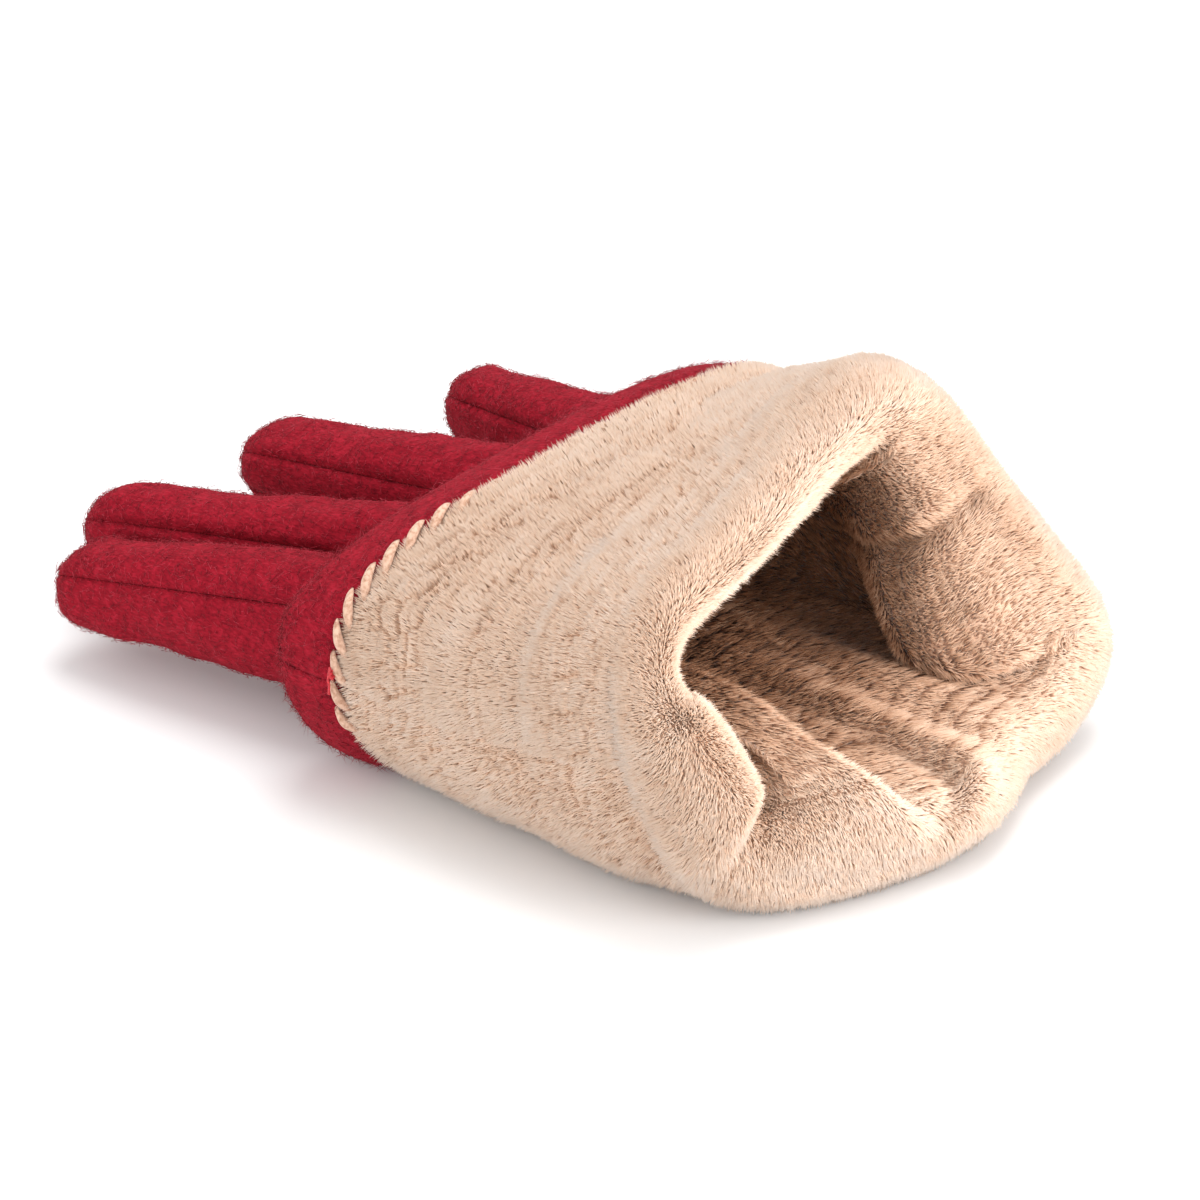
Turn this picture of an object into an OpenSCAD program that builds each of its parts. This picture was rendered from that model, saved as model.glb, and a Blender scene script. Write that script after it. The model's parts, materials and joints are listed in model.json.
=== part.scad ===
// Felted wool glove with a plush lining, worn cuff turned inside out over the hand.
// Millimetres. +Z up, +Y from the mouth to the fingertips, +X towards the little finger.
// Origin: middle of the bounding box, on the surface the glove lies on.

/* [Cloth] */
// Thickness of the plush lining, backing and pile together
plush_t = 4; // [3:0.5:4.5]
// Thickness of the felted wool cloth
wool_t = 1.4; // [1:0.1:1.5]
// Thickness of the lining inside the fingers, where the pile is pressed flat
finger_plush_t = 2.6; // [1.5:0.1:3.5]

/* [Cuff] */
// Width of the turned-in wool hem
hem_w = 14; // [10:0.5:15]
// Thickness of the turned-in hem
hem_t = 6; // [4:0.5:6.5]
// Width of the seam gap between two panels
seam_gap = 0.4; // [0.3:0.1:0.8]

/* [Fingers] */
// Added to the length of each finger
finger_extra = 0; // [-10:1:15]
// Fullness of the finger sections, 2 is an ellipse
fullness = 2.4; // [2:0.1:2.8]

/* [Stitches] */
// Number of whip stitches round the hem
stitch_count = 50; // [24:1:50]
// Thickness of the stitching yarn
stitch_d = 2.4; // [1.4:0.1:2.6]
// Length of one slanted stitch without its rounded ends
stitch_l = 3.4; // [2.6:0.2:4.2]

/* [Hidden] */

wool_color = [0.62, 0.05, 0.12];
plush_color = [0.87, 0.74, 0.60];
thread_color = [0.75, 0.10, 0.16];

// Shift that puts the origin under the middle of the bounding box.
place = [-8.69, -15.02, 0.06];
// Air left between the lining and the wool round it.
layer_gap = 0.2;
tube_gap = 0.6;
eps = 0.002;

// Loops of the cuff, all started at the middle of the back and run towards +X.
// Middle of the rolled mouth with the radius of the roll.
MOUTH = [[8, -30, 56, 6.5], [24, -27, 59, 7], [38, -26, 60, 7], [46, -29, 55, 7.5], [49.5, -38, 44, 7.5],
         [54, -49, 30, 8], [58, -58, 17, 7.5], [47, -61, 9, 7], [29, -63, 7, 6.5], [12, -67, 7, 7],
         [-6, -63, 7, 7], [-22, -55, 8, 7.5], [-30, -48, 13, 9], [-34, -43, 24, 9],
         [-36, -37.5, 37, 7], [-26, -33, 47, 6], [-8, -32, 52, 6]];
// Outer face of the cuff at the seam to the hem.
HEM = [[5, 8.5, 55], [25, 4, 58], [42, 1, 57], [55, 0, 48], [59, -1, 33], [56, 0, 19], [47, 2, 7],
       [32, 5, 2], [14, 8, 1], [-5, 12, 1], [-22, 15, 1], [-34, 18, 3], [-42, 20, 14],
       [-44, 20, 26], [-40, 19.5, 38], [-24, 15.5, 48]];
// Inner face of the lining at the knuckles and at the finger bases, in x and z.
THROAT = [[5, 32], [18, 33], [30, 33], [38, 31], [42, 27], [41, 21], [35, 17], [25, 15],
          [12, 14], [0, 14], [-10, 14], [-17, 15], [-20, 18], [-20, 23], [-18, 27], [-9, 31]];
WEB = [[5, 36], [20, 38], [32, 38], [41, 35], [44, 29], [42, 23], [35, 19], [25, 17],
       [12, 16], [0, 16], [-12, 16], [-22, 17], [-27, 20], [-28, 24], [-25, 29], [-12, 33]];
// The roll looks up by this much at its top and straight ahead where it lies on the table.
mouth_lean = 0.55;
throat_y = 10;
web_y = 23.4;
// The knuckle line runs back towards the little finger by this much per mm.
slant = -0.2;
// Side seams of the cuff as shares of the way round.
far_seam = 0.27;
near_seam = 0.80;

// Closed smooth curve through the points p, t from 0 to 1.
function ring(p, t) =
    let (n = len(p), s = (t - floor(t)) * n, i = floor(s), f = s - i,
         a = p[(i + n - 1) % n], b = p[i % n], c = p[(i + 1) % n], d = p[(i + 2) % n])
    0.5 * (2 * b + (c - a) * f + (2 * a - 5 * b + 4 * c - d) * f * f
           + (3 * b - a - 3 * c + d) * f * f * f);
function unit(v) = v / norm(v);
function xyz(p) = [p[0], p[1], p[2]];
function flat(p, y0) = [p[0], y0 + slant * p[0], p[1]];
// Cubic from p to q leaving along dp and arriving along dq.
function hermite(p, dp, q, dq, s) =
    (2 * s * s * s - 3 * s * s + 1) * p + (s * s * s - 2 * s * s + s) * dp
    + (3 * s * s - 2 * s * s * s) * q + (s * s * s - s * s) * dq;

// Pile face of the cuff. u runs round, v from the hem (0) over the outer wall (1),
// the roll (2) and the inner wall (3) to the finger bases (4).
function cuff(u, v) =
    let (m = ring(MOUTH, u), k = xyz(m), r = m[3],
         tang = unit(xyz(ring(MOUTH, u + eps)) - xyz(ring(MOUTH, u - eps))),
         lean = [0, -1, mouth_lean * (k[2] - 8) / 50],
         ahead = unit(lean - (lean * tang) * tang),
         n = cross(tang, ahead),
         o = k - r * n, i = k + r * n,
         h = ring(HEM, u), t = flat(ring(THROAT, u), throat_y), w = flat(ring(WEB, u), web_y))
    v <= 1 ? hermite(h, norm(o - h) * [0, -1, 0], o, 0.7 * norm(o - h) * ahead, v)
    : v <= 2 ? k + r * (sin(180 * (v - 1)) * ahead - cos(180 * (v - 1)) * n)
    : v <= 3 ? hermite(i, -0.8 * norm(t - i) * ahead, t, 0.6 * norm(t - i) * [0, 1, 0], v - 2)
    : hermite(t, norm(w - t) * [0, 1, 0], w, norm(w - t) * [0, 1, 0], v - 3);
function cuff_in(u, v) =
    let (s = min(max(v, eps), 4 - eps))
    unit(cross(cuff(u + eps, s) - cuff(u - eps, s), cuff(u, s + eps) - cuff(u, s - eps)));
function cuff_at(u, v, depth) = cuff(u, v) + depth * cuff_in(u, v);

// Solid between two grids of points with the same rows and columns.
module slab(a, b) {
    nv = len(a) - 1;
    nu = len(a[0]) - 1;
    m = nu + 1;
    n = m * (nv + 1);
    faces = [
        for (j = [0:nv - 1]) for (i = [0:nu - 1])
            let (p = j * m + i, q = p + 1, r = q + m, s = p + m)
            each [[p, q, r], [p, r, s], [n + r, n + q, n + p], [n + s, n + r, n + p]],
        for (i = [0:nu - 1])
            let (p = i, q = i + 1, r = nv * m + i, s = r + 1)
            each [[q, p, n + p], [q, n + p, n + q], [r, s, n + s], [r, n + s, n + r]],
        for (j = [0:nv - 1])
            let (p = j * m, q = p + m, r = p + nu, s = r + m)
            each [[p, q, n + q], [p, n + q, n + p], [s, r, n + r], [s, n + r, n + s]]
    ];
    polyhedron(points = [for (r = a) each r, for (r = b) each r], faces = faces);
}

// Solid through closed rings of points, closed by a flat fan at each end.
module loft(rings) {
    n = len(rings[0]);
    last = len(rings) - 1;
    faces = [
        for (j = [0:last - 1]) for (i = [0:n - 1])
            let (p = j * n + i, q = j * n + (i + 1) % n)
            each [[p, q, q + n], [p, q + n, p + n]],
        for (i = [1:n - 2]) [0, i + 1, i],
        for (i = [1:n - 2]) [last * n, last * n + i, last * n + i + 1]
    ];
    polyhedron(points = [for (r = rings) each r], faces = faces);
}

// Steps along the cuff: outer wall, roll, inner wall, finger bases.
CUFF_V = [for (i = [0:5]) i / 5, for (i = [1:6]) 1 + i / 6, for (i = [1:5]) 2 + i / 5,
          for (i = [1:2]) 3 + i / 2];
cuff_cols = 18;
// Share of the way round taken by half a seam gap.
gap_u = seam_gap / 2 / 230;
function half(u0, u1) = [for (i = [0:cuff_cols]) u0 + gap_u + (u1 - u0 - 2 * gap_u) * i / cuff_cols];
BACK_U = half(near_seam - 1, far_seam);
PALM_U = half(far_seam, near_seam);

module cuff_layer(us, d0, d1) {
    slab([for (v = CUFF_V) [for (u = us) cuff_at(u, v, d0)]],
         [for (v = CUFF_V) [for (u = us) cuff_at(u, v, d1)]]);
}

// Turned-in hem: a puffy band in front of the seam.
hem_points = 12;
hem_proud = 0.6;
hem_gap = 0.3;
// On top of the hand the band dips towards the fingers by this much per mm.
hem_dip = 0.38;
function round_sign(c, n) = sign(c) * pow(abs(c), 2 / n);
function hem_ring(u) =
    let (n = cuff_in(u, 0), way = unit([0, 1, -hem_dip * max(0, -n[2])]),
         c = ring(HEM, u) + [-0.5, 0, 0] + (hem_w / 2 + hem_gap) * way + (hem_t / 2 - hem_proud) * n)
    [for (i = [0:hem_points - 1]) let (a = 360 * i / hem_points)
        c + hem_w / 2 * round_sign(cos(a), 3) * way + hem_t / 2 * round_sign(sin(a), 3) * n];
module hem_band(us) {
    loft([for (u = us) hem_ring(u)]);
}

// A finger: mouth at y0, tip at y1, centre, width and height at both ends.
// [x0, z0, y0, x1, z1, y1, w0, h0, w1, h1]
INDEX = [-24.5, 21, 33, -36, 14, 95, 19, 27, 15, 15];
MIDDLE = [-3, 22.5, 28.5, -20, 16, 104, 19, 27, 16, 15];
RING = [18.5, 26, 24.5, 14, 19, 97, 20, 28, 16, 15];
LITTLE = [38.5, 29, 20.5, 53, 21.5, 80, 18, 26, 15, 14];
THUMB = [-33.1, 24, -5, -33, 24, 17.5, 7, 16, 6.8, 14];
TUBE_S = [0, 0.2, 0.4, 0.6, 0.76, 0.87, 0.93, 0.975, 1];
tip_share = 0.12;
// Point of the finger skin at angle a, share s of the length, depth d under the surface.
function skin(f, a, s, d) =
    let (y1 = f[5] + finger_extra * (f[2] > 0 ? 1 : 0) - d, y = f[2] + (y1 - f[2]) * s,
         w = f[6] + (f[8] - f[6]) * s, h = f[7] + (f[9] - f[7]) * s,
         r = min(f[9], f[8] + 4) / 2, q = 1 - min(1, (y1 - y) / r),
         c = max(tip_share, sqrt(1 - q * q)))
    [f[0] + (f[3] - f[0]) * s + (w / 2 - d) * c * round_sign(cos(a), fullness), y,
     f[1] + (f[4] - f[1]) * s + (h / 2 - d) * c * round_sign(sin(a), fullness)];
panel_step = 18;
module panel(f, a0, a1) {
    cut = 57 * seam_gap / f[8];
    n = round((a1 - a0) / panel_step);
    as = [for (i = [0:n]) a0 + cut + (a1 - a0 - 2 * cut) * i / n];
    slab([for (s = TUBE_S) [for (a = as) skin(f, a, s, 0)]],
         [for (s = TUBE_S) [for (a = as) skin(f, a, s, wool_t)]]);
}
lining_points = 18;
module blind_tube(f, outer, thick) {
    as = [for (i = [0:lining_points - 1]) -360 * i / lining_points];
    n = len(TUBE_S) - 1;
    loft([for (i = [0:n]) [for (a = as) skin(f, a, TUBE_S[n - i], outer)],
          for (i = [0:n]) [for (a = as) skin(f, a, TUBE_S[i], outer + thick)]]);
}

// Angles of the panel seams, 0 towards the little finger and 90 up.
upper = 28;
lower = 332;
back_to = 152;
side_to = 208;
module back_panel(f) { color(wool_color) translate(place) panel(f, upper, back_to); }
module palm_panel(f, a0, a1) { color(wool_color) translate(place) panel(f, a0, a1); }
module inner_side(f) { color(wool_color) translate(place) panel(f, lower - 360, upper); }
module outer_side(f) { color(wool_color) translate(place) panel(f, back_to, side_to); }
module finger_lining(f) {
    color(plush_color) translate(place) blind_tube(f, wool_t + tube_gap, finger_plush_t);
}

module plush_back() { color(plush_color) translate(place) cuff_layer(BACK_U, 0, plush_t); }
module plush_palm() { color(plush_color) translate(place) cuff_layer(PALM_U, 0, plush_t); }
wool_d = plush_t + layer_gap;
module wool_back() { color(wool_color) translate(place) cuff_layer(BACK_U, wool_d, wool_d + wool_t); }
module wool_palm() { color(wool_color) translate(place) cuff_layer(PALM_U, wool_d, wool_d + wool_t); }
module hem_back() { color(wool_color) translate(place) hem_band(BACK_U); }
module hem_palm() { color(wool_color) translate(place) hem_band(PALM_U); }

// One slanted stitch lying over the seam, with rounded ends.
// Each stitch lies nearly along the seam and climbs by this much per mm.
stitch_lean = 0.42;
stitch_rise = 0.5;
// Under the glove the stitches sink this much further into the pile.
stitch_sink = 1.2;
module stitch(p, dir) {
    translate(p) rotate([0, acos(dir[2]), atan2(dir[1], dir[0])]) {
        cylinder(h = stitch_l, d = stitch_d, center = true, $fn = 10);
        for (e = [-1, 1]) translate([0, 0, e * stitch_l / 2]) sphere(d = stitch_d, $fn = 10);
    }
}
// Length run along the hem loop, from the middle of the back, against the share of the way round.
hem_steps = 200;
hem_run = [for (i = 0, l = 0; i <= hem_steps;
                l = l + norm(ring(HEM, (i + 1) / hem_steps) - ring(HEM, i / hem_steps)), i = i + 1)
           [l, i / hem_steps]];
module hem_stitches() {
    color(plush_color) translate(place)
    for (i = [0:stitch_count - 1]) {
        u = lookup((i + 0.5) / stitch_count * hem_run[hem_steps][0], hem_run);
        along = unit(ring(HEM, u + eps) - ring(HEM, u - eps));
        inward = cuff_in(u, 0);
        sink = stitch_sink * max(0, inward[2]) - stitch_rise;
        stitch(ring(HEM, u) + sink * inward, unit(along + stitch_lean * [0, 1, 0]));
    }
}

// Loose end of the hem thread with its knot, beside the near side seam.
thread_u = near_seam + 0.012;
thread_l = 6;
module thread_end() {
    color(thread_color) translate(place)
    translate(ring(HEM, thread_u) - 2.4 * cuff_in(thread_u, 0)) {
        sphere(d = 2.2, $fn = 24);
        rotate([150, 0, 0]) cylinder(h = thread_l, d = 0.8, $fn = 16);
    }
}

module index_back() { back_panel(INDEX); }
module index_palm() { palm_panel(INDEX, back_to, lower); }
module index_inner_side() { inner_side(INDEX); }
module index_lining() { finger_lining(INDEX); }
module middle_back() { back_panel(MIDDLE); }
module middle_palm() { palm_panel(MIDDLE, side_to, lower); }
module middle_outer_side() { outer_side(MIDDLE); }
module middle_inner_side() { inner_side(MIDDLE); }
module middle_lining() { finger_lining(MIDDLE); }
module ring_back() { back_panel(RING); }
module ring_palm() { palm_panel(RING, side_to, lower); }
module ring_outer_side() { outer_side(RING); }
module ring_inner_side() { inner_side(RING); }
module ring_lining() { finger_lining(RING); }
module little_back() { back_panel(LITTLE); }
module little_palm() { palm_panel(LITTLE, side_to, upper + 360); }
module little_outer_side() { outer_side(LITTLE); }
module little_lining() { finger_lining(LITTLE); }

// The thumb lies flat inside the fold, between the hand and the turned-back cuff.
thumb_plush_t = 0.9;
module thumb_back() { color(wool_color) translate(place) panel(THUMB, 90, 270); }
module thumb_palm() { color(wool_color) translate(place) panel(THUMB, -90, 90); }
module thumb_lining() {
    color(plush_color) translate(place) blind_tube(THUMB, wool_t + tube_gap, thumb_plush_t);
}

plush_back();
plush_palm();
wool_back();
wool_palm();
hem_back();
hem_palm();
hem_stitches();
thread_end();
index_back();
index_palm();
index_inner_side();
index_lining();
middle_back();
middle_palm();
middle_outer_side();
middle_inner_side();
middle_lining();
ring_back();
ring_palm();
ring_outer_side();
ring_inner_side();
ring_lining();
little_back();
little_palm();
little_outer_side();
little_lining();
thumb_back();
thumb_palm();
thumb_lining();
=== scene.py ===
"""A glove of felted wool with a plush lining, palm down, its cuff turned inside out over the hand."""
import json
import math

import bpy
import numpy as np
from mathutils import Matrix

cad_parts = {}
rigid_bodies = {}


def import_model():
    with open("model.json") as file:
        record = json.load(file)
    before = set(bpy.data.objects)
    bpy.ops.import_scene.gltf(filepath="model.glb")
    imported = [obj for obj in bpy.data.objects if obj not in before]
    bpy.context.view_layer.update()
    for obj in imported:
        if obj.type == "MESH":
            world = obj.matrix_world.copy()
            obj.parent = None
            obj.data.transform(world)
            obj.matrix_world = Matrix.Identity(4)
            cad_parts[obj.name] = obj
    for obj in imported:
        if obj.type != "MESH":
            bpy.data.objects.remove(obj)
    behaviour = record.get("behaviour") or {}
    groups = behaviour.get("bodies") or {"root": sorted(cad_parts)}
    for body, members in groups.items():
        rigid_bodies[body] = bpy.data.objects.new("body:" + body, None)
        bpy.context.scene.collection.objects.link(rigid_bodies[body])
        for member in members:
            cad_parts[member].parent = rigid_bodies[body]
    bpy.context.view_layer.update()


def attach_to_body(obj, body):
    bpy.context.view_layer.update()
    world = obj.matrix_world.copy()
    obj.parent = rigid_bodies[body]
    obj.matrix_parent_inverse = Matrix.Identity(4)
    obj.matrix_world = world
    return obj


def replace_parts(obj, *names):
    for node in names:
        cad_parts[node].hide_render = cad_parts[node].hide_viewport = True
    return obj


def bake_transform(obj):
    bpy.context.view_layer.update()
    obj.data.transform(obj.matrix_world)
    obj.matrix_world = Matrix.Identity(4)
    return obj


for leftover in list(bpy.data.objects):
    bpy.data.objects.remove(leftover)
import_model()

# ------------------------------------------------------------------ plush lining of the cuff and the hand
# A knitted backing with a thick lying pile, cut as a back and a palm half and sewn down both sides. At the
# mouth it rolls over itself: the outer wall is the turned-back cuff, the inner wall goes on into the hand.
MM = 0.001
PLACE = np.array([-8.69, -15.02, 0.06])
# The loops of the cuff in mm, each from the middle of the back round towards the little finger.
# Middle of the roll at the mouth, with the radius of the roll.
MOUTH = [(8, -30, 56, 6.5), (24, -27, 59, 7), (38, -26, 60, 7), (46, -29, 55, 7.5), (49.5, -38, 44, 7.5),
         (54, -49, 30, 8), (58, -58, 17, 7.5), (47, -61, 9, 7), (29, -63, 7, 6.5), (12, -67, 7, 7),
         (-6, -63, 7, 7), (-22, -55, 8, 7.5), (-30, -48, 13, 9), (-34, -43, 24, 9),
         (-36, -37.5, 37, 7), (-26, -33, 47, 6), (-8, -32, 52, 6)]
HEM = [(5, 8.5, 55), (25, 4, 58), (42, 1, 57), (55, 0, 48), (59, -1, 33), (56, 0, 19), (47, 2, 7), (32, 5, 2),
       (14, 8, 1), (-5, 12, 1), (-22, 15, 1), (-34, 18, 3), (-42, 20, 14), (-44, 20, 26), (-40, 19.5, 38),
       (-24, 15.5, 48)]
KNUCKLES = [(5, 32), (18, 33), (30, 33), (38, 31), (42, 27), (41, 21), (35, 17), (25, 15), (12, 14), (0, 14),
            (-10, 14), (-17, 15), (-20, 18), (-20, 23), (-18, 27), (-9, 31)]
WEB = [(5, 36), (20, 38), (32, 38), (41, 35), (44, 29), (42, 23), (35, 19), (25, 17), (12, 16), (0, 16),
       (-12, 16), (-22, 17), (-27, 20), (-28, 24), (-25, 29), (-12, 33)]
FAR_SEAM, NEAR_SEAM = 0.27, 0.80


def loop(points, t):
    """Closed Catmull-Rom curve: each span is the cubic through its two points, sloped by their neighbours."""
    p = np.asarray(points, float)
    s = (np.asarray(t) % 1) * len(p)
    i = np.floor(s).astype(int)
    f = (s - i)[..., None]
    a, b, c, d = (p[(i + k) % len(p)] for k in (-1, 0, 1, 2))
    return 0.5 * (2 * b + (c - a) * f + (2 * a - 5 * b + 4 * c - d) * f**2 + (3 * b - a - 3 * c + d) * f**3)


def unit(v):
    """Each vector divided by its length."""
    return v / np.maximum(np.linalg.norm(v, axis=-1, keepdims=True), 1e-9)


def dot(a, b):
    """Sum of products along the last axis, kept as a column."""
    return (a * b).sum(-1, keepdims=True)


def hermite(p, dp, q, dq, s):
    """Cubic from p to q that leaves along dp and arrives along dq."""
    return ((2 * s**3 - 3 * s**2 + 1) * p + (s**3 - 2 * s**2 + s) * dp
            + (3 * s**2 - 2 * s**3) * q + (s**3 - s**2) * dq)


def slanted(xz, y0):
    """Points (x, z) of a loop set on the knuckle plane, whose y falls by 0.2 mm per mm of x."""
    return np.stack([xz[..., 0], y0 - 0.2 * xz[..., 0], xz[..., 1]], -1)


def lining_face(u, v):
    """Pile face: v 0-1 a cubic from the hem to the roll, 1-2 half a circle about the mouth loop,
    2-3 a cubic into the hand, 3-4 straight on to the finger bases; u goes round."""
    m = loop(MOUTH, u)
    k, r = m[..., :3], m[..., 3:]
    along = unit(loop(MOUTH, u + 0.002)[..., :3] - loop(MOUTH, u - 0.002)[..., :3])
    ahead = np.stack([0 * u, 0 * u - 1, 0.55 * (k[..., 2] - 8) / 50], -1)
    ahead = unit(ahead - dot(ahead, along) * along)
    n = np.cross(along, ahead)
    o, i, h = k - r * n, k + r * n, loop(HEM, u)
    t, w = slanted(loop(KNUCKLES, u), 10), slanted(loop(WEB, u), 23.4)
    y = np.array([0, 1.0, 0])
    size = lambda a: np.linalg.norm(a, axis=-1, keepdims=True)
    v = v[..., None]
    turn = np.clip(v - 1, 0, 1) * math.pi
    outer = hermite(h, -size(o - h) * y, o, 0.7 * size(o - h) * ahead, np.clip(v, 0, 1))
    roll = k + r * (np.sin(turn) * ahead - np.cos(turn) * n)
    inner = hermite(i, -0.8 * size(t - i) * ahead, t, 0.6 * size(t - i) * y, np.clip(v - 2, 0, 1))
    deep = hermite(t, size(w - t) * y, w, size(w - t) * y, np.clip(v - 3, 0, 1))
    return np.where(v <= 1, outer, np.where(v <= 2, roll, np.where(v <= 3, inner, deep)))


def wander(x, y, seed):
    """Smooth value noise from -1 to 1: a random number at each whole x, y, blended by the quintic step."""
    xi, yi = np.floor(x).astype(np.int64), np.floor(y).astype(np.int64)
    fx, fy = x - xi, y - yi
    fx, fy = (f**3 * (10 - 15 * f + 6 * f * f) for f in (fx, fy))
    pick = lambda a, b: (np.sin((a * 127.1 + b * 311.7 + seed * 74.7) % 6283.1) * 43758.5453) % 1.0
    low = pick(xi, yi) * (1 - fx) + pick(xi + 1, yi) * fx
    high = pick(xi, yi + 1) * (1 - fx) + pick(xi + 1, yi + 1) * fx
    return 2 * (low * (1 - fy) + high * fy) - 1


def ramp(x, a, b):
    """Smoothstep: 0 before a, 1 after b."""
    s = np.clip((x - a) / (b - a), 0, 1)
    return s * s * (3 - 2 * s)


def mound(u, v, u0, v0, su, sv, lean=0.0):
    """A soft hill: exp of minus the squared distance from (u0, v0) in widths su, sv; lean tilts it in u."""
    du = (u - u0 + 0.5) % 1 - 0.5 - lean * (v - v0)
    return np.exp(-((du / su) ** 2) - ((v - v0) / sv) ** 2)


def folds(u, v):
    """Height in mm of the soft folds over the plain form, as a sum of hills, ridges and waves."""
    # About mm round the cuff and mm along it.
    x, y = u * 230, v * 50
    # The far wall sags into the mouth as one big bulge, with a smaller one above it and a crease between.
    width = np.where(u < 0.305, 0.070, 0.048)
    far = np.exp(-(((u - 0.305) / width) ** 2)) * ramp(v, 1.65, 2.15) * (1 - ramp(v, 2.26, 2.52))
    h = 14.0 * far + 3.5 * mound(u, v, 0.155, 2.30, 0.10, 0.70)
    h -= 2.5 * mound(u, v, 0.245, 2.0, 0.007, 0.45)
    # The palm wall rises inside as a flap, steep on the far side of its crest and gentle on the near side.
    crest = 0.578 + 0.030 * ramp(v, 1.7, 2.2)
    flap = ramp(u, crest - 0.022, crest) * (1 - ramp(u, crest, crest + 0.12))
    h += 13.0 * flap * ramp(v, 1.45, 2.45) * (1 - ramp(v, 2.55, 2.95))
    # The roll at the mouth swells on its near side.
    h += (3.5 * ramp(u, 0.69, 0.73) * (1 - ramp(u, 0.80, 0.86))
          * ramp(v, 1.0, 1.35) * (1 - ramp(v, 1.85, 2.25)))
    # Two low ridges and a groove run in along the palm, on the far side of the flap.
    h += 2.4 * mound(u, v, 0.505, 2.15, 0.018, 0.55, lean=-0.06)
    h -= 1.8 * mound(u, v, 0.53, 2.05, 0.010, 0.40, lean=-0.06)
    h += 1.6 * mound(u, v, 0.455, 2.3, 0.016, 0.5, lean=-0.04)
    # The outer wall undulates and has one crease round its near side.
    wall = ramp(v, 0.05, 0.3) * (1 - ramp(v, 0.95, 1.15))
    h += wall * (0.7 * wander(x / 30, y / 11, 3) + 0.35 * wander(x / 15, y / 7, 4))
    h -= 1.1 * wall * mound(u, v, 0.87, 0.62, 0.10, 0.05)
    h += 0.6 * wander(x / 17, y / 11, 5) * ramp(v, 1.0, 1.3)
    return h


# The whole face once on a fine grid: mesh, pile and seams all read their places and directions from it.
FACE_U = np.linspace(0, 1, 880, endpoint=False)
FACE_V = np.concatenate([np.linspace(0, 1, 190, endpoint=False), np.linspace(1, 2, 90, endpoint=False),
                         np.linspace(2, 3, 170, endpoint=False), np.linspace(3, 4, 40)])


def frame_of(points):
    """Unit steps along u and v and the outward normal of a grid closed in u, by central differences."""
    ring = np.concatenate([points[-1:], points, points[:1]])
    du = unit(ring[2:] - ring[:-2])
    dv = unit(np.gradient(points, axis=1))
    return du, dv, unit(np.cross(dv, du))


grid_u, grid_v = np.meshgrid(FACE_U, FACE_V, indexing="ij")
plain = lining_face(grid_u, grid_v)
face_points = plain + folds(grid_u, grid_v)[..., None] * frame_of(plain)[2]
face_points[..., 2] = np.maximum(face_points[..., 2], 0.9)
face_du, face_dv, face_n = frame_of(face_points)


def on_face(field, u, v):
    """A field of the fine grid read at any u, v by linear blending of the four nearest grid points."""
    a = (u % 1) * len(FACE_U)
    i = np.floor(a).astype(int)
    fa = (a - i)[..., None]
    b = np.interp(v, FACE_V, np.arange(len(FACE_V)))
    j = np.minimum(np.floor(b).astype(int), len(FACE_V) - 2)
    fb = (b - j)[..., None]
    i, k = i % len(FACE_U), (i + 1) % len(FACE_U)
    return ((field[i, j] * (1 - fa) + field[k, j] * fa) * (1 - fb)
            + (field[i, j + 1] * (1 - fa) + field[k, j + 1] * fa) * fb)


def shell_faces(nu, nv):
    """Quads of a closed shell between two grids of nu x nv points: both skins and the four edge strips."""
    p = np.arange(nu * nv).reshape(nu, nv)
    q = p + nu * nv
    skin = lambda g: np.stack([g[:-1, :-1], g[1:, :-1], g[1:, 1:], g[:-1, 1:]], -1).reshape(-1, 4)
    strip = lambda a, b: np.stack([a[:-1], b[:-1], b[1:], a[1:]], -1)
    return np.concatenate([skin(p), skin(q)[:, ::-1],
                           strip(p[:, 0], q[:, 0]), strip(p[:, -1], q[:, -1])[:, ::-1],
                           strip(p[0], q[0])[:, ::-1], strip(p[-1], q[-1])])


def add_mesh(name, points, faces, colors=None):
    """A new object from whole arrays: points in mm of the part's source, faces all of one size.
    The faces are turned over if the volume they enclose comes out negative."""
    points = np.maximum(points.reshape(-1, 3), [-999, -999, 0.05 - PLACE[2]])
    a, b, c = (points[faces[:, i]] for i in (0, 1, 2))
    volume = dot(a, np.cross(b, c)).sum()
    if faces.shape[1] == 4:
        volume += dot(a, np.cross(c, points[faces[:, 3]])).sum()
    if volume < 0:
        faces = faces[:, ::-1]
    mesh = bpy.data.meshes.new(name)
    count, sides = faces.shape
    mesh.vertices.add(len(points))
    mesh.vertices.foreach_set("co", ((points + PLACE) * MM).astype(np.float32).ravel())
    mesh.loops.add(count * sides)
    mesh.loops.foreach_set("vertex_index", np.ascontiguousarray(faces).astype(np.int32).ravel())
    mesh.polygons.add(count)
    mesh.polygons.foreach_set("loop_start", np.arange(0, count * sides, sides, dtype=np.int32))
    mesh.polygons.foreach_set("use_smooth", np.ones(count, bool))
    mesh.update(calc_edges=True)
    if colors is not None:
        layer = mesh.attributes.new("tone", "FLOAT", "POINT")
        layer.data.foreach_set("value", colors.astype(np.float32).ravel())
    obj = bpy.data.objects.new(name, mesh)
    bpy.context.scene.collection.objects.link(obj)
    return obj


def linear(code):
    """sRGB hex to linear colour: the two-part sRGB curve, undone."""
    c = np.array([int(code[i:i + 2], 16) / 255 for i in (1, 3, 5)])
    return (*np.where(c <= 0.04045, c / 12.92, ((c + 0.055) / 1.055) ** 2.4), 1.0)


def node(tree, kind, links=None, **settings):
    """Adds a node: settings name its properties or its input sockets, links give sockets their sources."""
    n = tree.nodes.new(kind)
    for key, value in settings.items():
        if hasattr(n, key):
            setattr(n, key, value)
        else:
            n.inputs[key.replace("_", " ")].default_value = value
    for key, source in (links or {}).items():
        tree.links.new(source, n.inputs[key])
    return n


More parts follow.
